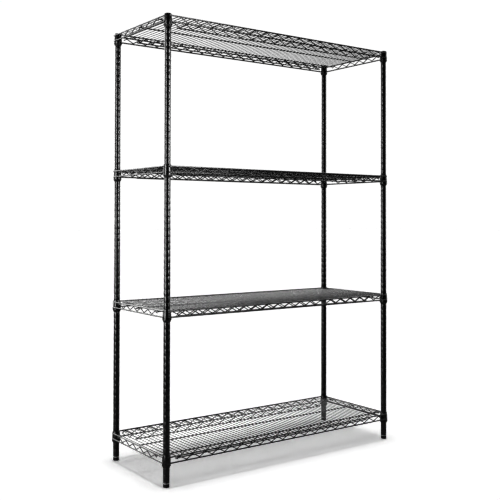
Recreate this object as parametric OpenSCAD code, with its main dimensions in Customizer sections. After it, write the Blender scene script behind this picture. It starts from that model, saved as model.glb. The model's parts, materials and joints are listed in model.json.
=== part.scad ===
// Wire shelving rack: four grooved tube posts, four welded wire shelves and
// screw-in levelling feet. Each shelf drops over the posts and wedges its
// tapered corner collars onto split plastic sleeves clipped to the grooves.
// Frame: origin on the floor under the middle of the rack, +Z up, X along the
// shelves, Y from the front (negative) to the back.

/* [Posts] */
// Distance between post centres along the rack
post_spacing_x = 1183; // [780:1:1800]
// Distance between post centres from front to back
post_spacing_y = 421; // [400:1:600]
// Outside diameter of a post tube
post_d = 25.4; // [24:0.1:27]
// Wall thickness of a post tube
post_wall = 1.2; // [0.9:0.1:1.6]
// Distance between the ring grooves, and so the step of the shelf heights
groove_pitch = 25.4; // [24:0.1:30]
// Depth of a ring groove
groove_depth = 0.6; // [0.4:0.1:0.8]

/* [Shelf heights, in grooves] */
// Bottom shelf
shelf_1_groove = 4; // [4:1:8]
// Second shelf
shelf_2_groove = 26; // [14:1:34]
// Third shelf
shelf_3_groove = 48; // [40:1:60]
// Top shelf, which also sets the height of the posts
shelf_4_groove = 71; // [66:1:80]

/* [Shelf wires] */
// Diameter of the wires around the edge of a shelf
edge_wire_d = 5.8; // [5:0.1:6.2]
// Diameter of the straight wires of the inner trusses and of the centre rod
inner_wire_d = 5; // [4.6:0.1:5.8]
// Diameter of the zigzag wires
zigzag_d = 4; // [3.6:0.1:4.4]
// Diameter of the deck wires
deck_wire_d = 3.4; // [2.8:0.1:3.6]
// Distance between deck wires
deck_pitch = 19.8; // [15:0.1:30]
// Height between the upper and the lower wire of a truss, centre to centre
truss_height = 23.1; // [22.6:0.1:23.4]
// Distance along a truss from one bend of the zigzag to the next
zigzag_step = 30; // [25:1:40]
// Height of the zigzag from its middle to the centre of a bend
zigzag_rise = 7.3; // [7.2:0.05:7.5]
// Distance of an inner truss from the middle of the shelf
inner_truss_y = 165; // [90:1:170]
// Height of a collar's top above the wires around the edge
edge_drop = 4.6; // [3:0.1:7]

/* [Collars and sleeves] */
// Height of a collar
collar_h = 42; // [40:1:44]
// Outside diameter of a collar at its top
collar_top_d = 30.8; // [30.8:0.1:32]
// Outside diameter of a collar at its bottom
collar_bottom_d = 35.4; // [35:0.1:36]
// Wall thickness of a collar
collar_wall = 1.4; // [1.2:0.1:1.4]
// Length of a sleeve that shows under its collar
sleeve_below = 8; // [6:1:10]

/* [Feet] */
// Height of a foot pad
pad_h = 14; // [12:1:16]
// Diameter of a foot pad
pad_d = 25; // [22:0.1:25.4]
// Diameter of a foot's screw
stem_d = 9.44; // [8:0.02:10]

/* [Hidden] */
$fn = 64;

// Gap left between pieces that are welded or pressed together
weld_gap = 0.05;
// Radial clearance between a collar and the sleeve inside it
slide_gap = 0.3;
// Radial clearance between a foot's screw and its insert
thread_gap = 0.08;

post_r = post_d / 2;
tube_r = post_r - post_wall;
// Half the width of a groove at the surface of the post and at its bottom
groove_half_w = 0.9;
groove_half_bottom = 0.4;

// Distance from a post's axis to the edge wires that pass outside it
edge_wire_out = 16.3;
// Length of an edge wire past the axis of the post that it is welded to
edge_wire_past = 4;
// Clear length kept between the last bend of a zigzag and the post's axis
zigzag_end_clear = 45;
// Length of an inner truss's lower wire past the last bend that it meets
inner_wire_past = 14;
// Clear distance between a short deck wire and the collar that it points at
short_wire_clear = 2.5;

// Depth that the centre rod is welded into the deck wires
rod_sink = 0.5;

// Heights inside a shelf, measured from the top of its collars. The inner
// trusses pass under the end trusses' upper wires, and carry the deck wires.
edge_wire_z = -edge_drop - edge_wire_d / 2;
inner_wire_z = edge_wire_z - edge_wire_d / 2 - weld_gap - inner_wire_d / 2;
deck_wire_z = inner_wire_z + inner_wire_d / 2 + weld_gap + deck_wire_d / 2;
rod_z = deck_wire_z - deck_wire_d / 2 - inner_wire_d / 2 + rod_sink;

edge_x = post_spacing_x / 2 + edge_wire_out;
edge_y = post_spacing_y / 2 + edge_wire_out;

// Feet and inserts, from the floor up
insert_gap = 0.5;
flange_h = 2.5;
insert_h = 20;
post_bottom = pad_h + insert_gap + flange_h;
insert_r = tube_r - weld_gap;
bore_r = stem_d / 2 + thread_gap;
stem_bottom = 4;
stem_h = 40;

// Top of the collars of a shelf whose sleeves hold on under groove number n
level_datum = 22.6;
function level_z(n) = level_datum + n * groove_pitch;

post_top = level_z(shelf_4_groove) + 0.5;
cap_h = 2.5;
cap_plug_h = 12;

// Inside radius of a collar at height z, counted from its top
collar_top_r = collar_top_d / 2;
collar_bottom_r = collar_bottom_d / 2;
function collar_inside_r(z) =
  collar_top_r - collar_wall - z / collar_h * (collar_bottom_r - collar_top_r);

sleeve_top = -2;
sleeve_shoulder = -collar_h - 1;
sleeve_bottom = -collar_h - sleeve_below;
sleeve_lip = 0.6;
sleeve_split_angle = 1.5;

CORNERS = [["front_left", -1, -1], ["front_right", 1, -1], ["back_left", -1, 1], ["back_right", 1, 1]];
SHELF_GROOVES = [shelf_1_groove, shelf_2_groove, shelf_3_groove, shelf_4_groove];
POST_PARTS = ["post", "post_cap", "foot_insert", "foot_stem", "foot_pad"];
SHELF_PARTS = [
  "deck", "front_truss", "back_truss", "left_truss", "right_truss",
  "inner_front_truss", "inner_back_truss", "collars"
];

module at_corner(c) {
  translate([c[1] * post_spacing_x / 2, c[2] * post_spacing_y / 2, 0]) children();
}

module at_corners() {
  for (c = CORNERS) at_corner(c) children();
}

module rod_x(length, d) {
  rotate([0, 90, 0]) cylinder(d = d, h = length, center = true);
}

module rod_y(length, d) {
  rotate([90, 0, 0]) cylinder(d = d, h = length, center = true);
}

// ---- Posts and what is pressed into them ----

// One groove's outline up the outside of a post, as [radius, height] points
function groove_points(z) = [
  [post_r, z - groove_half_w],
  [post_r - groove_depth, z - groove_half_bottom],
  [post_r - groove_depth, z + groove_half_bottom],
  [post_r, z + groove_half_w]
];

module post() {
  outside = [for (n = [1 : shelf_4_groove - 1]) each groove_points(level_z(n))];
  color("#232325") rotate_extrude() polygon(concat(
    [[tube_r, post_bottom], [post_r, post_bottom]],
    outside,
    [[post_r, post_top], [tube_r, post_top]]
  ));
}

module post_cap() {
  plug_r = tube_r - weld_gap;
  color("#121214") translate([0, 0, post_top]) rotate_extrude() polygon([
    [0, -cap_plug_h], [plug_r, -cap_plug_h], [plug_r, weld_gap], [post_r, weld_gap],
    [post_r, cap_h * 0.4], [post_r - 1, cap_h * 0.64], [post_r * 0.5, cap_h * 0.92], [0, cap_h]
  ]);
}

module foot_insert() {
  flange_top = post_bottom - weld_gap;
  color("#b9bcc0") rotate_extrude() polygon([
    [bore_r, post_bottom - flange_h], [post_r - 0.1, post_bottom - flange_h],
    [post_r - 0.1, flange_top], [insert_r, flange_top],
    [insert_r, post_bottom + insert_h], [bore_r, post_bottom + insert_h]
  ]);
}

module foot_stem() {
  color("#a7aaae") translate([0, 0, stem_bottom + weld_gap]) cylinder(d = stem_d, h = stem_h);
}

module foot_pad() {
  r = pad_d / 2;
  hole_r = stem_d / 2 + weld_gap;
  color("#111112") rotate_extrude() polygon([
    [0, 0], [r - 1, 0], [r, 1], [r, pad_h - 2], [r - 1.2, pad_h],
    [hole_r, pad_h], [hole_r, stem_bottom], [0, stem_bottom]
  ]);
}

// ---- Split sleeves ----

// Half a sleeve: its rib sits in the groove one pitch under the collar's top
module sleeve_half() {
  bore = post_r + weld_gap;
  rib_r = post_r - groove_depth + 0.1;
  rib_z = -groove_pitch;
  rotate([0, 0, sleeve_split_angle / 2])
    rotate_extrude(angle = 180 - sleeve_split_angle) polygon([
      [bore, sleeve_bottom],
      [bore, rib_z - 0.7], [rib_r, rib_z - 0.25], [rib_r, rib_z + 0.25], [bore, rib_z + 0.7],
      [bore, sleeve_top],
      [collar_inside_r(sleeve_top) - slide_gap, sleeve_top],
      [collar_inside_r(sleeve_shoulder) - slide_gap, sleeve_shoulder],
      [bore + sleeve_lip, sleeve_bottom]
    ]);
}

module sleeves() {
  color("#161618") at_corners() {
    sleeve_half();
    rotate([0, 0, 180]) sleeve_half();
  }
}

// ---- Welded wire shelf, built with the tops of its collars at z = 0 ----

module collars() {
  color("#1c1c1e") at_corners() rotate_extrude() polygon([
    [collar_inside_r(-collar_h), -collar_h], [collar_bottom_r, -collar_h],
    [collar_top_r, 0], [collar_inside_r(0), 0]
  ]);
}

// The space inside a collar's outer surface, which the edge wires are shaped to
module collar_space() {
  translate([0, 0, -collar_h])
    cylinder(r1 = collar_bottom_r + weld_gap, r2 = collar_top_r + weld_gap, h = collar_h);
}

// One slanting leg of a zigzag, starting at [x, z] and cut off square to the
// truss at both ends; share is how much of the step it covers
module zigzag_leg(x, z, share = 1) {
  box_h = 4 * zigzag_rise;
  intersection() {
    translate([x + zigzag_step / 2, 0, 0])
      rotate([0, atan2(2 * z, zigzag_step), 0]) rod_x(1.5 * zigzag_step, zigzag_d);
    translate([x, -zigzag_d, -box_h / 2]) cube([share * zigzag_step, 2 * zigzag_d, box_h]);
  }
}

// Zigzag along X: its outermost full bends, number last to each side, are at the top
module zigzag(last) {
  for (k = [-last : last - 1])
    zigzag_leg(k * zigzag_step, (last - k) % 2 == 0 ? zigzag_rise : -zigzag_rise);
  for (side = [0, 1])
    mirror([side, 0, 0]) zigzag_leg(last * zigzag_step, zigzag_rise, 0.5);
}

// Upper wire, lower wire and zigzag welded into one flat frame along X
module truss(upper_length, lower_length, wire_d, upper_z, last) {
  union() {
    translate([0, 0, upper_z]) rod_x(upper_length, wire_d);
    translate([0, 0, upper_z - truss_height]) rod_x(lower_length, wire_d);
    translate([0, 0, upper_z - truss_height / 2]) zigzag(last);
  }
}

function last_bend(spacing) = floor((spacing / 2 - zigzag_end_clear) / zigzag_step);

module edge_truss(spacing) {
  length = spacing + 2 * edge_wire_past;
  truss(length, length, edge_wire_d, edge_wire_z, last_bend(spacing));
}

module long_truss(side) {
  color("#1f1f21") difference() {
    translate([0, side * edge_y, 0]) edge_truss(post_spacing_x);
    at_corners() collar_space();
  }
}

module end_truss(side) {
  color("#1f1f21") difference() {
    translate([side * edge_x, 0, 0]) rotate([0, 0, 90]) edge_truss(post_spacing_y);
    at_corners() collar_space();
  }
}

module inner_truss(side) {
  last = last_bend(post_spacing_x);
  lower_length = 2 * ((last - 1) * zigzag_step + inner_wire_past);
  color("#1f1f21") translate([0, side * inner_truss_y, 0])
    truss(2 * edge_x, lower_length, inner_wire_d, inner_wire_z, last);
}

// Deck wires from front to back, welded to the centre rod under them and ending
// against the edge wires. The ones that would run into the collars are short.
module deck() {
  last_wire = floor((edge_x - edge_wire_d / 2 - deck_wire_d) / deck_pitch);
  long_limit = post_spacing_x / 2 - collar_bottom_r - deck_wire_d / 2 - short_wire_clear;
  full_length = 2 * (edge_y - edge_wire_d / 2 - weld_gap);
  rod_length = 2 * (edge_x - edge_wire_d / 2 - weld_gap);
  short_length = post_spacing_y - 2 * (collar_bottom_r + short_wire_clear);
  color("#26262a") union() {
    for (k = [-last_wire : last_wire]) {
      x = k * deck_pitch;
      translate([x, 0, deck_wire_z])
        rod_y(abs(x) > long_limit ? short_length : full_length, deck_wire_d);
    }
    translate([0, 0, rod_z]) rod_x(rod_length, inner_wire_d);
  }
}

// ---- Assembly ----

for (c = CORNERS) at_corner(c) {
  post();
  post_cap();
  foot_insert();
  foot_stem();
  foot_pad();
}

for (s = [1 : 4]) translate([0, 0, level_z(SHELF_GROOVES[s - 1])]) {
  shelf = str("shelf_", s, "_");
  sleeves();
  deck();
  long_truss(-1);
  long_truss(1);
  end_truss(-1);
  end_truss(1);
  inner_truss(-1);
  inner_truss(1);
  collars();
}
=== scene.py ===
"""Wire shelving rack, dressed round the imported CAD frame.

Every wire, post, collar, sleeve and foot is rebuilt here as a smooth closed mesh in the place that the
CAD frame gives it, with bent zigzags, welds and threads, and gets a procedural coated steel, plastic or
zinc finish. The floor, the studio light and the camera come last. Lengths are in metres.
"""

import json
import math

import bmesh
import bpy
from mathutils import Euler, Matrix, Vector

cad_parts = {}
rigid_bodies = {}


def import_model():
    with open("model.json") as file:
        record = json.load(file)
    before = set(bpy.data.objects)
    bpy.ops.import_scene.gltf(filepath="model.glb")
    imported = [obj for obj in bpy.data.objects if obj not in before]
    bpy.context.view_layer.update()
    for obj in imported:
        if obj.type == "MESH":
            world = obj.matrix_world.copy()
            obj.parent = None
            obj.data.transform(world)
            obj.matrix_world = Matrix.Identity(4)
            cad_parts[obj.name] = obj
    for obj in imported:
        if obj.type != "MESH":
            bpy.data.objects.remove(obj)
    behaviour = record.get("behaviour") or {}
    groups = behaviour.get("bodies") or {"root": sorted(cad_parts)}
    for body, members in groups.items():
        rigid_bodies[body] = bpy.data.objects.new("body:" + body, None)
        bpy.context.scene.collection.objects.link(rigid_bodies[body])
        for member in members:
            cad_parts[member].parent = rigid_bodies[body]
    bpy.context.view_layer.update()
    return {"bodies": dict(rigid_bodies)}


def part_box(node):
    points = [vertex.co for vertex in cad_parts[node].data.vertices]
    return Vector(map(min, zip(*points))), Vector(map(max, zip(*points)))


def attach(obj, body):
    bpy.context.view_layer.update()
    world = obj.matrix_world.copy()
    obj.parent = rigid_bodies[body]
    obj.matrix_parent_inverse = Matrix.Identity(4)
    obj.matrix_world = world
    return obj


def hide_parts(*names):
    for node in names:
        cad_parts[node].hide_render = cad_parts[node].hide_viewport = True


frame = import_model()

MM = 0.001
X, Y, Z = Vector((1, 0, 0)), Vector((0, 1, 0)), Vector((0, 0, 1))
CORNERS = {
    "front_left": (-1, -1),
    "front_right": (1, -1),
    "back_left": (-1, 1),
    "back_right": (1, 1),
}
SHELF_COUNT = sum(name.startswith("shelf_") for name in frame["bodies"])
SHELVES = range(1, SHELF_COUNT + 1)  # numbered from the lowest

# ---- Sizes that the frame's boxes don't give ----

CLEARANCE = 0.05 * MM  # between parts that fit into or round each other
ROUND_SIDES = 56  # of a turned part, all the way round
SHARP_ANGLE = math.radians(38)  # edges that turn more than this stay sharp

GROOVE_PITCH = 25.4 * MM
GROOVE_DEPTH = 0.6 * MM
GROOVE_END_CLEAR = 3 * MM  # from the tube's ends to the nearest groove
TUBE_WALL = 1.2 * MM

ZIGZAG_R = 2.0 * MM
ZIGZAG_STEP = 30 * MM
ZIGZAG_BEND = 5.5 * MM  # radius of the wire's middle line round a bend
ZIGZAG_SINK = 0.6 * MM  # how far a bend is melted into the straight wire it is welded to
ZIGZAG_END_CLEAR = 45 * MM  # least room from the last full bend to the post's axis
INNER_LOWER_END = 14 * MM  # how far an inner lower wire goes on past the last bend it holds
EDGE_STEP = 1.5 * MM  # between the points near an edge wire's ends, which follow the collars
EDGE_POINTS = 28

DECK_WIRE_R = 1.7 * MM
DECK_PITCH = 19.8 * MM
SHORT_WIRE_CLEAR = 2.5 * MM
ROD_SINK = 0.5 * MM  # how far the centre rod is melted into the deck wires
DECK_END_SINK = 0.7 * MM  # how far a deck wire's end is melted into an edge wire

# Half sizes of the welds along X, Y and Z. A weld at a bend is longest along its truss.
WELD_BEND_X = Vector((3.4, 1.7, 1.1)) * MM
WELD_BEND_Y = Vector((1.7, 3.4, 1.1)) * MM
WELD_BEND_DEPTH = 0.1 * MM  # from the straight wire's surface to the middle of such a weld
WELD_INNER_END = Vector((2.6, 3.0, 1.0)) * MM
WELD_DECK_CROSSING = Vector((2.0, 2.2, 0.8)) * MM
WELD_DECK_END = Vector((2.1, 0.9, 2.0)) * MM

COLLAR_TOP_R = 15.4 * MM
COLLAR_WALL = 1.4 * MM
SLEEVE_GAP = 0.3 * MM
SLEEVE_SEAM = math.radians(1.5)

INSERT_BORE_R = 4.8 * MM
THREAD_PITCH = 1.5875 * MM
THREAD_DEPTH = 0.75 * MM


# ---- Meshes ----


class Form:
    """The points and faces of one piece, put together from closed shapes."""

    def __init__(self):
        self.points = []
        self.faces = []

    def skin(self, rings, loop=False):
        """Joins rings of equally many points. The end rings are closed off, or joined if loop."""
        start, count, total = len(self.points), len(rings[0]), len(rings)
        for ring in rings:
            self.points.extend(ring)
        for i in range(total if loop else total - 1):
            a, b = start + i * count, start + (i + 1) % total * count
            for k in range(count):
                n = (k + 1) % count
                self.faces.append((a + k, a + n, b + n, b + k))
        if not loop:
            self.faces.append(tuple(range(start, start + count)))
            last = start + (total - 1) * count
            self.faces.append(tuple(range(last, last + count)))

    def mesh(self, name):
        """A smooth-shaded mesh whose faces all look outward, with sharp edges kept sharp."""
        data = bpy.data.meshes.new(name)
        data.from_pydata(self.points, [], self.faces)
        solid = bmesh.new()
        solid.from_mesh(data)
        bmesh.ops.recalc_face_normals(solid, faces=solid.faces)
        solid.to_mesh(data)
        solid.free()
        data.polygons.foreach_set("use_smooth", [True] * len(data.polygons))
        data.set_sharp_from_angle(angle=SHARP_ANGLE)
        return data


def arc(centre, radius, start, end, steps):
    """Points of an arc in a lathe profile, as (radius, height) pairs. Angles are in degrees."""
    made = []
    for i in range(steps + 1):
        a = math.radians(start + (end - start) * i / steps)
        made.append((centre[0] + radius * math.cos(a), centre[1] + radius * math.sin(a)))
    return made


def eased(profile, radius, steps=2):
    """A closed profile with each of its corners rounded, over less than half of each side."""
    share = 0.45
    made = []
    for i, here in enumerate(profile):
        corner = Vector(here)
        before = (Vector(profile[i - 1]) - corner) * share
        after = (Vector(profile[(i + 1) % len(profile)]) - corner) * share
        a = corner + before * min(1, radius / before.length)
        b = corner + after * min(1, radius / after.length)
        for j in range(steps + 1):
            t = j / steps
            made.append(tuple(a * (1 - t) ** 2 + corner * 2 * t * (1 - t) + b * t * t))
    return made


def lathe(form, profile, sides, loop=True):
    """Turns a profile of (radius, height) points about the Z axis."""
    rings = []
    for radius, z in profile:
        ring = []
        for k in range(sides):
            a = 2 * math.pi * k / sides
            ring.append(Vector((radius * math.cos(a), radius * math.sin(a), z)))
        rings.append(ring)
    form.skin(rings, loop)


def rounded(points, radius, steps):
    """A line through the points with each inner corner turned into an arc of that radius."""
    path = [points[0]]
    for before, corner, after in zip(points, points[1:], points[2:]):
        u, v = (before - corner).normalized(), (after - corner).normalized()
        half = u.angle(v) / 2
        reach = radius / math.tan(half)
        centre = corner + (u + v).normalized() * radius / math.sin(half)
        a, b = corner + u * reach - centre, corner + v * reach - centre
        for i in range(steps + 1):
            path.append(centre + a.slerp(b, i / steps).normalized() * radius)
    path.append(points[-1])
    return path


def wire(form, path, side, radius, sides=14, shape=None):
    """A round wire with softened ends along a path. side is square to the path's plane."""
    soft = [(0.0, 0.62), (0.14, 0.86), (0.4, 1.0)]  # share of the radius along, and out
    first = (path[1] - path[0]).normalized()
    last = (path[-2] - path[-1]).normalized()
    stations = [(path[0] + first * radius * s, first, g) for s, g in soft]
    for before, here, after in zip(path, path[1:], path[2:]):
        stations.append((here, (after - before).normalized(), 1.0))
    stations += [(path[-1] + last * radius * s, -last, g) for s, g in reversed(soft)]
    rings = []
    for place, along, girth in stations:
        out = side.cross(along)
        ring = []
        for k in range(sides):
            a = 2 * math.pi * (k + 0.5) / sides
            ring.append(place + (out * math.cos(a) + side * math.sin(a)) * radius * girth)
        rings.append(ring)
    if shape:
        rings = [[shape(p) for p in ring] for ring in rings]
    form.skin(rings)


def weld(form, centre, radii):
    """The small lump of melted metal where two wires touch."""
    sides = 10
    rings = []
    for level in (-0.92, -0.6, 0, 0.6, 0.92):
        girth = math.sqrt(1 - level * level)
        ring = []
        for k in range(sides):
            a = 2 * math.pi * k / sides
            offset = Vector((math.cos(a) * girth, math.sin(a) * girth, level))
            ring.append(centre + offset * radii)
        rings.append(ring)
    form.skin(rings)


# ---- Materials ----


class Graph:
    """A node tree, with short ways to add nodes and join them."""

    def __init__(self, tree):
        self.tree = tree
        self.join = tree.links.new

    def add(self, kind, **settings):
        """A new node. A setting is a property of the node or else the value of one of its inputs."""
        node = self.tree.nodes.new(kind)
        for key, value in settings.items():
            if hasattr(node, key):
                setattr(node, key, value)
            else:
                node.inputs[key.replace("_", " ")].default_value = value
        return node

    def noise(self, place, **settings):
        """The value of a noise texture."""
        texture = self.add("ShaderNodeTexNoise", **settings)
        self.join(place, texture.inputs["Vector"])
        return texture.outputs["Fac"]

    def spread(self, source, low, high):
        """Maps the middle of a noise value onto a range."""
        ramp = self.add("ShaderNodeMapRange", From_Min=0.3, From_Max=0.7, To_Min=low, To_Max=high)
        self.join(source, ramp.inputs["Value"])
        return ramp.outputs["Result"]

    def smooth_step(self, source, start, end, low, high):
        """Goes smoothly from low to high while the source goes from start to end."""
        ramp = self.add(
            "ShaderNodeMapRange",
            interpolation_type="SMOOTHSTEP",
            From_Min=start,
            From_Max=end,
            To_Min=low,
            To_Max=high,
        )
        self.join(source, ramp.inputs["Value"])
        return ramp.outputs["Result"]

    def mottle(self, source, dark, light):
        """A colour that drifts between dark and light with a noise value."""
        first, second, result = 6, 7, 2  # the Mix node's sockets for colours
        tone = self.add("ShaderNodeMix", data_type="RGBA")
        self.join(self.spread(source, 0.0, 1.0), tone.inputs["Factor"])
        tone.inputs[first].default_value = (*dark, 1)
        tone.inputs[second].default_value = (*light, 1)
        return tone.outputs[result]

    def split(self, seen, otherwise, output):
        """Ends the tree with one shader for what the camera sees and another for all other rays."""
        ray = self.add("ShaderNodeLightPath")
        mix = self.add("ShaderNodeMixShader")
        self.join(ray.outputs["Is Camera Ray"], mix.inputs["Fac"])
        self.join(otherwise, mix.inputs[1])
        self.join(seen, mix.inputs[2])
        self.join(mix.outputs["Shader"], self.add(output).inputs["Surface"])


def new_material(name):
    """A new material with its graph and its Principled shader."""
    material = bpy.data.materials.new(name)
    material.use_nodes = True
    return material, Graph(material.node_tree), material.node_tree.nodes["Principled BSDF"]


def coating(name, dark, light, gloss, grains, specular):
    """A black finish. gloss is the range of its roughness, grains its bumps as (size, depth)."""
    material, graph, shader = new_material(name)
    place = graph.add("ShaderNodeTexCoord").outputs["Object"]

    cloud = graph.noise(place, Scale=28.0, Detail=4.0, Roughness=0.6)
    graph.join(graph.mottle(cloud, dark, light), shader.inputs["Base Color"])
    flow = graph.noise(place, Scale=160.0, Detail=3.0)
    graph.join(graph.spread(flow, *gloss), shader.inputs["Roughness"])

    normal = None
    for size, depth in grains:
        bump = graph.add("ShaderNodeBump", Strength=1.0, Distance=depth)
        graph.join(graph.noise(place, Scale=1 / size, Detail=2.0), bump.inputs["Height"])
        if normal:
            graph.join(normal, bump.inputs["Normal"])
        normal = bump.outputs["Normal"]
    graph.join(normal, shader.inputs["Normal"])
    shader.inputs["Specular IOR Level"].default_value = specular
    return material


def zinc():
    """Bright zinc plate, turned on a lathe: fine rings and a faint blue and yellow cast."""
    material, graph, shader = new_material("bright_zinc")
    place = graph.add("ShaderNodeTexCoord").outputs["Object"]
    cloud = graph.noise(place, Scale=220.0, Detail=3.0)
    blue, yellow = (0.60, 0.62, 0.66), (0.74, 0.73, 0.69)
    graph.join(graph.mottle(cloud, blue, yellow), shader.inputs["Base Color"])
    shader.inputs["Metallic"].default_value = 1.0

    squeezed = graph.add("ShaderNodeMapping", Scale=(60, 60, 5000))
    graph.join(place, squeezed.inputs["Vector"])
    lines = graph.noise(squeezed.outputs["Vector"], Scale=1.0, Detail=2.0)
    graph.join(graph.spread(lines, 0.2, 0.38), shader.inputs["Roughness"])
    bump = graph.add("ShaderNodeBump", Strength=0.6, Distance=0.02 * MM)
    graph.join(lines, bump.inputs["Height"])
    graph.join(bump.outputs["Normal"], shader.inputs["Normal"])
    return material


STEEL = coating(
    "black_epoxy_steel",
    dark=(0.0075, 0.0075, 0.0085),
    light=(0.0125, 0.0125, 0.0135),
    gloss=(0.24, 0.34),
    grains=((1.4 * MM, 0.012 * MM), (0.45 * MM, 0.004 * MM)),
    specular=0.5,
)
PLASTIC = coating(
    "black_moulded_plastic",
    dark=(0.009, 0.009, 0.0095),
    light=(0.014, 0.014, 0.015),
    gloss=(0.36, 0.48),
    grains=((0.5 * MM, 0.03 * MM),),
    specular=0.45,
)
SLEEVE_PLASTIC = coating(
    "matte_sleeve_plastic",
    dark=(0.013, 0.013, 0.014),
    light=(0.019, 0.019, 0.020),
    gloss=(0.5, 0.62),
    grains=((0.35 * MM, 0.03 * MM),),
    specular=0.4,
)
ZINC = zinc()
FINISHES = {
    "black_steel": STEEL,
    "black_plastic": PLASTIC,
    "sleeve_plastic": SLEEVE_PLASTIC,
    "zinc_steel": ZINC,
}


def piece(name, data, finish, body, node, place=(0, 0, 0), turn=0.0):
    """Shows a mesh as one piece of the object, in place of a CAD node."""
    if not data.materials:
        data.materials.append(FINISHES[finish])
    thing = bpy.data.objects.new(name, data)
    bpy.context.scene.collection.objects.link(thing)
    thing.location = place
    thing.rotation_euler = (0, 0, turn)
    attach(thing, body)
    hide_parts(node)


# ---- Where things are, from the frame ----

post_low, post_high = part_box("post_front_right")
POST_R = (post_high.x - post_low.x) / 2
POST_X = (post_high.x + post_low.x) / 2
POST_Y = -(post_high.y + post_low.y) / 2

LEVELS = {n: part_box(f"shelf_{n}_collars")[1].z for n in SHELVES}  # the tops of the collars
deck_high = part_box("shelf_1_deck")[1]
front_low, front_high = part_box("shelf_1_front_truss")
right_low, right_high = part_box("shelf_1_right_truss")
inner_low, inner_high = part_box("shelf_1_inner_front_truss")
collar_low, collar_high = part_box("shelf_1_collars")
sleeve_low, sleeve_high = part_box("sleeves_1")

EDGE_R = (front_high.y - front_low.y) / 2
EDGE_Y = -(front_high.y + front_low.y) / 2
EDGE_X = (right_high.x + right_low.x) / 2
EDGE_UPPER = front_high.z - EDGE_R - LEVELS[1]
EDGE_LOWER = front_low.z + EDGE_R - LEVELS[1]
INNER_R = (inner_high.y - inner_low.y) / 2
INNER_Y = -(inner_high.y + inner_low.y) / 2
INNER_UPPER = inner_high.z - INNER_R - LEVELS[1]
INNER_LOWER = inner_low.z + INNER_R - LEVELS[1]
DECK_WIRE_Z = deck_high.z - DECK_WIRE_R - LEVELS[1]
COLLAR_H = collar_high.z - collar_low.z
COLLAR_BOTTOM_R = collar_high.x - POST_X
PLUG_R = POST_R - TUBE_WALL - CLEARANCE


def collar_r(z):
    """Outside radius of a collar at a height, counted from its top at 0 down to -COLLAR_H."""
    return COLLAR_TOP_R - z / COLLAR_H * (COLLAR_BOTTOM_R - COLLAR_TOP_R)


# ---- Posts, caps and feet ----


def post_form():
    """A tube with rolled grooves, from its own lower end at height 0."""
    # Half of a groove: the distance from its middle in mm, and the share of its full depth there
    outline = [(-1.25, 0.0), (-0.9, 0.12), (-0.6, 0.6), (-0.3, 0.94), (0, 1.0)]
    outline += [(-z, depth) for z, depth in reversed(outline[:-1])]
    length = post_high.z - post_low.z
    z = LEVELS[SHELF_COUNT] - post_low.z
    while z - GROOVE_PITCH > GROOVE_END_CLEAR:
        z -= GROOVE_PITCH
    rim = 0.3 * MM
    profile = [(POST_R - TUBE_WALL, 0.0), (POST_R - rim, 0.0), (POST_R, rim)]
    while z < length - GROOVE_END_CLEAR:
        for offset, depth in outline:
            profile.append((POST_R - GROOVE_DEPTH * depth, z + offset * MM))
        z += GROOVE_PITCH
    profile += [(POST_R, length), (POST_R - TUBE_WALL, length)]
    form = Form()
    lathe(form, profile, ROUND_SIDES)
    return form


def cap_form():
    """A plug with a flat-domed head, from the top of the post at height 0."""
    low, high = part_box("post_cap_front_right")
    head = high.z - post_high.z
    plug = post_high.z - low.z
    nose_r = PLUG_R - 0.4 * MM
    nose_length = 0.8 * MM
    profile = [(nose_r - 1.0 * MM, -plug), (nose_r, -plug)]
    profile += [(PLUG_R, -plug + nose_length), (PLUG_R, CLEARANCE)]
    profile += [(POST_R - 0.25 * MM, CLEARANCE), (POST_R, 0.3 * MM)]
    rim, rim_z = 0.9 * MM, 0.7 * MM
    profile += arc((POST_R - rim, rim_z), rim, 0, 68, steps=5)
    shoulder_r, shoulder_z = profile[-1]
    dome_steps, dome_power = 8, 2.2
    for i in range(1, dome_steps):
        left = 1 - i / dome_steps
        height = shoulder_z + (head - shoulder_z) * (1 - left**dome_power)
        profile.append((shoulder_r * left, height))
    profile.append((0.2 * MM, head))
    form = Form()
    lathe(form, profile, ROUND_SIDES, loop=False)
    return form


def insert_form():
    """A zinc-plated flange under the tube and ribbed plug in it, bored for the foot's screw."""
    low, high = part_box("foot_insert_front_right")
    flange_r = (high.x - low.x) / 2
    flange_top = post_low.z - CLEARANCE - low.z
    top = high.z - low.z
    bore_edge, lower_edge, upper_edge = 0.4 * MM, 0.35 * MM, 0.2 * MM
    profile = [(INSERT_BORE_R, bore_edge), (INSERT_BORE_R + bore_edge, 0.0)]
    profile += [(flange_r - lower_edge, 0.0), (flange_r - 0.1 * MM, 0.1 * MM)]
    profile += [(flange_r, lower_edge), (flange_r, flange_top - upper_edge)]
    profile += [(flange_r - upper_edge, flange_top)]

    neck_r, neck_length = PLUG_R - 0.4 * MM, 1 * MM
    profile += [(neck_r, flange_top), (neck_r, flange_top + neck_length)]
    rib_pitch, rib_width, rib_slope = 3.4 * MM, 1.6 * MM, 0.6 * MM
    valley_r = PLUG_R - 0.5 * MM
    z = flange_top + 2 * neck_length
    while z < top - 3 * MM:
        rib_top = z + rib_width
        profile += [(PLUG_R, z), (PLUG_R, rib_top)]
        profile += [(valley_r, rib_top + rib_slope), (valley_r, rib_top + 2 * rib_slope)]
        z += rib_pitch
    profile += [(PLUG_R - 1.2 * MM, top), (INSERT_BORE_R, top)]
    form = Form()
    lathe(form, profile, ROUND_SIDES)
    return form


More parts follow.
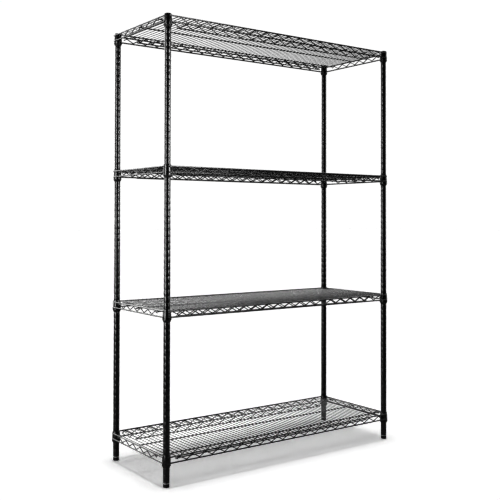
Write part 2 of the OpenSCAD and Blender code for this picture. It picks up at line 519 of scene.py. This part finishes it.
def stem_form():
    """A screw with a true helical thread, which runs out at both ends."""
    low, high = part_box("foot_stem_front_right")
    crest, length = (high.x - low.x) / 2, high.z - low.z
    sides, per_turn = 36, 10
    flank_slope, crest_flat = 2.5, 0.15
    count = int(length / THREAD_PITCH * per_turn)
    rings = []
    for i in range(count + 1):
        z = length * i / count
        ease = min(1.0, z / THREAD_PITCH, (length - z) / THREAD_PITCH)
        ring = []
        for k in range(sides):
            phase = (z / THREAD_PITCH - k / sides) % 1
            fall = min(1.0, max(0.0, abs(phase - 0.5) * flank_slope - crest_flat))
            radius = crest - THREAD_DEPTH * (1 - ease * (1 - fall))
            a = 2 * math.pi * k / sides
            ring.append(Vector((radius * math.cos(a), radius * math.sin(a), z)))
        rings.append(ring)
    form = Form()
    form.skin(rings)
    return form


def pad_form():
    """The round black foot that the screw stands in, with a hollow sole and a groove round it."""
    low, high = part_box("foot_pad_front_right")
    r, top = (high.x - low.x) / 2, high.z - low.z
    stem_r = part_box("foot_stem_front_right")[1].x - POST_X + CLEARANCE
    hole_r, hollow = 0.5 * MM, 0.5 * MM
    lower_round, upper_round = 1.2 * MM, 1.4 * MM
    profile = [(hole_r, hollow), (r * 0.55, hollow), (r * 0.6, 0.0), (r - 1.6 * MM, 0.0)]
    profile += arc((r - lower_round, lower_round), lower_round, -72, 0, steps=4)

    groove_low, groove_high, groove_slope = 3.2 * MM, 5.0 * MM, 0.5 * MM
    groove_r = r - 0.35 * MM
    profile += [(r, groove_low), (groove_r, groove_low + groove_slope)]
    profile += [(groove_r, groove_high - groove_slope), (r, groove_high)]

    socket_floor, socket_edge = 4.0 * MM, 0.6 * MM
    profile += [(r, top - 2.2 * MM)]
    profile += arc((r - upper_round, top - upper_round), upper_round, 4, 86, steps=5)
    profile += [(stem_r + 0.8 * MM, top), (stem_r, top - socket_edge)]
    profile += [(stem_r, socket_floor), (hole_r, socket_floor)]
    form = Form()
    lathe(form, profile, ROUND_SIDES)
    return form


def make_posts():
    parts = {
        "post": ("grooved_tube", post_form(), "black_steel"),
        "post_cap": ("domed_cap", cap_form(), "black_plastic"),
        "foot_insert": ("flanged_insert", insert_form(), "zinc_steel"),
        "foot_stem": ("threaded_stem", stem_form(), "zinc_steel"),
        "foot_pad": ("round_foot", pad_form(), "black_plastic"),
    }
    meshes = {part: form.mesh(label) for part, (label, form, _) in parts.items()}
    starts = {part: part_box(f"{part}_front_right")[0].z for part in parts}
    starts["post_cap"] = post_high.z
    for corner, (sx, sy) in CORNERS.items():
        for part, (label, _, finish) in parts.items():
            body = f"foot_{corner}" if part in ("foot_stem", "foot_pad") else "frame"
            place = (sx * POST_X, sy * POST_Y, starts[part])
            piece(f"{label}_{corner}", meshes[part], finish, body, f"{part}_{corner}", place)


# ---- Collars and split sleeves ----


def collar_form():
    """A tapered corner collar, with its top at height 0."""
    outline = [
        (COLLAR_BOTTOM_R - COLLAR_WALL, -COLLAR_H),
        (COLLAR_BOTTOM_R, -COLLAR_H),
        (COLLAR_TOP_R, 0.0),
        (COLLAR_TOP_R - COLLAR_WALL, 0.0),
    ]
    form = Form()
    lathe(form, eased(outline, 0.5 * MM, steps=3), sides=64)
    return form


def sleeve_form():
    """Half a split sleeve: tapered outside, with the rib inside that sits in a groove."""
    top = sleeve_high.z - LEVELS[1]
    bottom = sleeve_low.z - LEVELS[1]
    shoulder = -COLLAR_H - 1 * MM
    bore = POST_R + CLEARANCE
    rib_r, rib_z = POST_R - GROOVE_DEPTH + 0.12 * MM, -GROOVE_PITCH
    rib_base, rib_crest = 0.8 * MM, 0.3 * MM  # half widths
    fit = COLLAR_WALL + SLEEVE_GAP
    outline = [
        (bore, bottom),
        (bore, rib_z - rib_base),
        (rib_r, rib_z - rib_crest),
        (rib_r, rib_z + rib_crest),
        (bore, rib_z + rib_base),
        (bore, top),
        (collar_r(top) - fit, top),
        (collar_r(shoulder) - fit, shoulder),
        (bore + 0.6 * MM, bottom),
    ]
    profile = eased(outline, 0.35 * MM)
    steps = 32
    rings = []
    for i in range(steps + 1):
        a = SLEEVE_SEAM / 2 + (math.pi - SLEEVE_SEAM) * i / steps
        rings.append([Vector((r * math.cos(a), r * math.sin(a), z)) for r, z in profile])
    form = Form()
    form.skin(rings)
    return form


# ---- Welded shelf, with the tops of its collars at height 0 ----


def shaped_to_collars(p):
    """Moves a point of an edge wire out of the collars, into the middle of their wall."""
    for sx, sy in CORNERS.values():
        axis = Vector((sx * POST_X, sy * POST_Y, p.z))
        out = p - axis
        wall = collar_r(p.z) - COLLAR_WALL / 2
        if out.length < wall:
            return axis + out.normalized() * wall
    return p


def zigzag_path(origin, along, last, rise):
    """The zigzag's middle line. Its outermost full bends, number last each way, are at the top."""
    turn = math.atan2(2 * rise, ZIGZAG_STEP)
    peak = rise + ZIGZAG_BEND * (1 / math.cos(turn) - 1)
    points = [origin - along * (last + 0.5) * ZIGZAG_STEP]
    for k in range(-last, last + 1):
        up = peak if (last - k) % 2 == 0 else -peak
        points.append(origin + along * k * ZIGZAG_STEP + Z * up)
    points.append(origin + along * (last + 0.5) * ZIGZAG_STEP)
    return rounded(points, ZIGZAG_BEND, steps=6)


def truss(form, origin, along, heights, halves, radius, last, shape=None):
    """Two straight wires and a welded zigzag. heights and half lengths give the upper wire first."""
    side = Z.cross(along)
    for height, half in zip(heights, halves):
        line = [-half, half]
        if shape:
            dense = [half - i * EDGE_STEP for i in range(EDGE_POINTS)]
            line = [-s for s in dense] + dense[::-1]
        path = [origin + along * s + Z * height for s in line]
        wire(form, path, side, radius, sides=18, shape=shape)
    upper, lower = heights
    middle, room = (upper + lower) / 2, (upper - lower) / 2
    rise = room - radius - ZIGZAG_R + ZIGZAG_SINK
    wire(form, zigzag_path(origin + Z * middle, along, last, rise), side, ZIGZAG_R)

    weld_radii = WELD_BEND_X if along.x else WELD_BEND_Y
    reach = room - radius + WELD_BEND_DEPTH
    for k in range(-last, last + 1):
        at_top = (last - k) % 2 == 0
        height = middle + reach if at_top else middle - reach
        if abs(k * ZIGZAG_STEP) < halves[0 if at_top else 1]:
            weld(form, origin + along * k * ZIGZAG_STEP + Z * height, weld_radii)


def last_bend(post_half):
    """The number of a zigzag's outermost full bend, counted from the one in the middle."""
    return math.floor((post_half - ZIGZAG_END_CLEAR) / ZIGZAG_STEP)


def edge_truss_form(origin, along, half, post_half):
    """A truss on one side of the shelf, whose straight wires end in the collars' walls."""
    form = Form()
    heights = (EDGE_UPPER, EDGE_LOWER)
    last = last_bend(post_half)
    truss(form, origin, along, heights, (half, half), EDGE_R, last, shaped_to_collars)
    return form


def inner_truss_form(origin):
    """A truss under the deck, whose upper wire is welded under the end trusses' upper wires."""
    form = Form()
    last = last_bend(POST_X)
    halves = (inner_high.x, (last - 1) * ZIGZAG_STEP + INNER_LOWER_END)
    truss(form, origin, X, (INNER_UPPER, INNER_LOWER), halves, INNER_R, last)
    for end in (-1, 1):
        under_edge = origin + X * end * EDGE_X + Z * (INNER_UPPER + INNER_R)
        weld(form, under_edge, WELD_INNER_END)
    return form


def deck_form():
    """Deck wires welded between the edge wires, and to the inner trusses and the centre rod."""
    form = Form()
    last = math.floor((deck_high.x - DECK_WIRE_R) / DECK_PITCH)
    long_limit = POST_X - COLLAR_BOTTOM_R - DECK_WIRE_R - SHORT_WIRE_CLEAR
    short = POST_Y - COLLAR_BOTTOM_R - SHORT_WIRE_CLEAR
    seat = DECK_WIRE_Z - DECK_WIRE_R
    rod_z = seat - INNER_R + ROD_SINK
    for k in range(-last, last + 1):
        x = k * DECK_PITCH
        full = abs(x) <= long_limit
        half = deck_high.y + DECK_END_SINK if full else short
        wire(form, [Vector((x, y, DECK_WIRE_Z)) for y in (-half, half)], X, DECK_WIRE_R)
        for y in (-INNER_Y, 0, INNER_Y):
            if abs(y) < half:
                weld(form, Vector((x, y, seat)), WELD_DECK_CROSSING)
        if full:
            for y in (-deck_high.y, deck_high.y):
                weld(form, Vector((x, y, DECK_WIRE_Z)), WELD_DECK_END)
    rod = [Vector((x, 0, rod_z)) for x in (-deck_high.x, deck_high.x)]
    wire(form, rod, Y, INNER_R, sides=18)
    return form


def make_shelves():
    forms = {
        "deck": deck_form(),
        "front_truss": edge_truss_form(Y * -EDGE_Y, X, front_high.x, POST_X),
        "back_truss": edge_truss_form(Y * EDGE_Y, X, front_high.x, POST_X),
        "left_truss": edge_truss_form(X * -EDGE_X, Y, right_high.y, POST_Y),
        "right_truss": edge_truss_form(X * EDGE_X, Y, right_high.y, POST_Y),
        "inner_front_truss": inner_truss_form(Y * -INNER_Y),
        "inner_back_truss": inner_truss_form(Y * INNER_Y),
    }
    welded = {part: form.mesh(f"{part}_wires") for part, form in forms.items()}
    collar = collar_form().mesh("tapered_collar")
    sleeve = sleeve_form().mesh("sleeve_half")
    for n in SHELVES:
        body, level = f"shelf_{n}", LEVELS[n]
        for part, data in welded.items():
            node = f"shelf_{n}_{part}"
            piece(f"{node}_wires", data, "black_steel", body, node, (0, 0, level))
        for corner, (sx, sy) in CORNERS.items():
            place = (sx * POST_X, sy * POST_Y, level)
            name = f"shelf_{n}_collar_{corner}"
            piece(name, collar, "black_steel", body, f"shelf_{n}_collars", place)
            for half, turn in (("back", 0.0), ("front", math.pi)):
                name = f"sleeve_{n}_{corner}_{half}"
                piece(name, sleeve, "sleeve_plastic", "frame", f"sleeves_{n}", place, turn)


make_posts()
make_shelves()


# ---- Floor, light and camera ----


def make_floor():
    """A white floor without end that also glows. In the object's gloss it is pale near the rack, with
    painted shade further off.
    """
    data = bpy.data.meshes.new("floor")
    reach = 60.0
    corners = [(-reach, -reach, 0), (reach, -reach, 0), (reach, reach, 0), (-reach, reach, 0)]
    data.from_pydata(corners, [], [(0, 1, 2, 3)])
    material = bpy.data.materials.new("white_floor")
    material.use_nodes = True
    material.node_tree.nodes.clear()
    graph = Graph(material.node_tree)

    lit = graph.add("ShaderNodeBsdfDiffuse", Color=(0.92, 0.92, 0.92, 1))
    glow = graph.add("ShaderNodeEmission", Color=(1, 1, 1, 1), Strength=0.433)
    seen = graph.add("ShaderNodeAddShader")
    graph.join(lit.outputs["BSDF"], seen.inputs[0])
    graph.join(glow.outputs["Emission"], seen.inputs[1])

    place = graph.add("ShaderNodeTexCoord").outputs["Object"]
    distance = graph.add("ShaderNodeVectorMath", operation="LENGTH")
    graph.join(place, distance.inputs[0])
    # painted shade: for every ray but the camera's, the floor darkens with distance from the rack
    gloss_floor_shade = graph.smooth_step(distance.outputs["Value"], start=0.9, end=2.4, low=0.95, high=0.09)
    mirrored = graph.add("ShaderNodeBsdfDiffuse")
    graph.join(gloss_floor_shade, mirrored.inputs["Color"])
    graph.split(seen.outputs["Shader"], mirrored.outputs["BSDF"], "ShaderNodeOutputMaterial")

    data.materials.append(material)
    floor = bpy.data.objects.new("floor", data)
    bpy.context.scene.collection.objects.link(floor)
    floor.location.z = -0.5 * MM


def make_world():
    """White for the camera and a dim room for the gloss. It gives matt surfaces no light."""
    world = bpy.data.worlds.new("studio")
    bpy.context.scene.world = world
    world.cycles_visibility.diffuse = False
    world.use_nodes = True
    world.node_tree.nodes.clear()
    graph = Graph(world.node_tree)

    toward_wall = graph.add("ShaderNodeVectorMath", operation="DOT_PRODUCT")
    toward_wall.inputs[1].default_value = Vector((0.2, 0.9, 0.3)).normalized()
    graph.join(graph.add("ShaderNodeTexCoord").outputs["Generated"], toward_wall.inputs[0])
    wall = graph.smooth_step(toward_wall.outputs["Value"], start=0.0, end=0.8, low=0.08, high=4.8)
    room = graph.add("ShaderNodeBackground", Color=(1, 1, 1, 1))
    graph.join(wall, room.inputs["Strength"])
    white = graph.add("ShaderNodeBackground", Color=(1, 1, 1, 1), Strength=1.03)
    graph.split(white.outputs["Background"], room.outputs["Background"], "ShaderNodeOutputWorld")


def softbox(name, place, aim, width, height, power, spread=150):
    """A soft panel that shows in the object's gloss and lights no matt surface."""
    light = bpy.data.lights.new(name, "AREA")
    light.shape = "RECTANGLE"
    light.size = width
    light.size_y = height
    light.energy = power
    light.spread = math.radians(spread)
    thing = bpy.data.objects.new(name, light)
    bpy.context.scene.collection.objects.link(thing)
    thing.location = place
    thing.rotation_euler = (Vector(aim) - Vector(place)).to_track_quat("-Z", "Y").to_euler()
    thing.visible_camera = False
    thing.visible_diffuse = False


def make_lights():
    """A wide sun straight above throws the soft shadow, and upright panels streak the posts."""
    sun = bpy.data.lights.new("overhead", "SUN")
    sun.energy = 2.11
    sun.angle = math.radians(9)
    thing = bpy.data.objects.new("overhead", sun)
    bpy.context.scene.collection.objects.link(thing)
    thing.visible_glossy = False
    softbox(
        "left_softbox",
        place=(-3.0, -0.5, 1.25),
        aim=(-0.5, -0.1, 1.1),
        width=1.0,
        height=2.3,
        power=106,
    )
    softbox(
        "right_softbox",
        place=(3.2, -1.4, 1.75),
        aim=(-0.4, 0, 1.5),
        width=1.8,
        height=2.4,
        power=48,
    )
    softbox(
        "front_softbox",
        place=(0.3, -1.8, 1.45),
        aim=(-0.6, 0, 1.4),
        width=0.55,
        height=1.2,
        power=11,
        spread=60,
    )
    softbox(
        "back_softbox",
        place=(-1.9, 2.6, 0.75),
        aim=(-0.6, 0, 0.7),
        width=0.7,
        height=1.0,
        power=22,
    )


def make_camera():
    """A nearly level camera about 1 m up, in front of the rack and to its left."""
    data = bpy.data.cameras.new("camera")
    data.sensor_width = 36.0
    data.lens = 57.2945
    data.shift_x = 0.02294
    data.shift_y = -0.08748
    data.clip_end = 200
    thing = bpy.data.objects.new("camera", data)
    bpy.context.scene.collection.objects.link(thing)
    thing.location = (-2.16048, -2.87026, 1.03202)
    yaw, pitch, roll = 0.62230, 0.01576, 0.00226
    look = Euler((math.pi / 2 + pitch, 0, -yaw), "XYZ").to_matrix()
    tilt = Euler((0, 0, roll), "XYZ").to_matrix()
    thing.rotation_euler = (look @ tilt).to_euler()
    bpy.context.scene.camera = thing


make_floor()
make_world()
make_lights()
make_camera()

view = bpy.context.scene.view_settings
view.view_transform = "Standard"
view.gamma = 0.6  # keeps thin black wires dark where they are narrower than a picture element
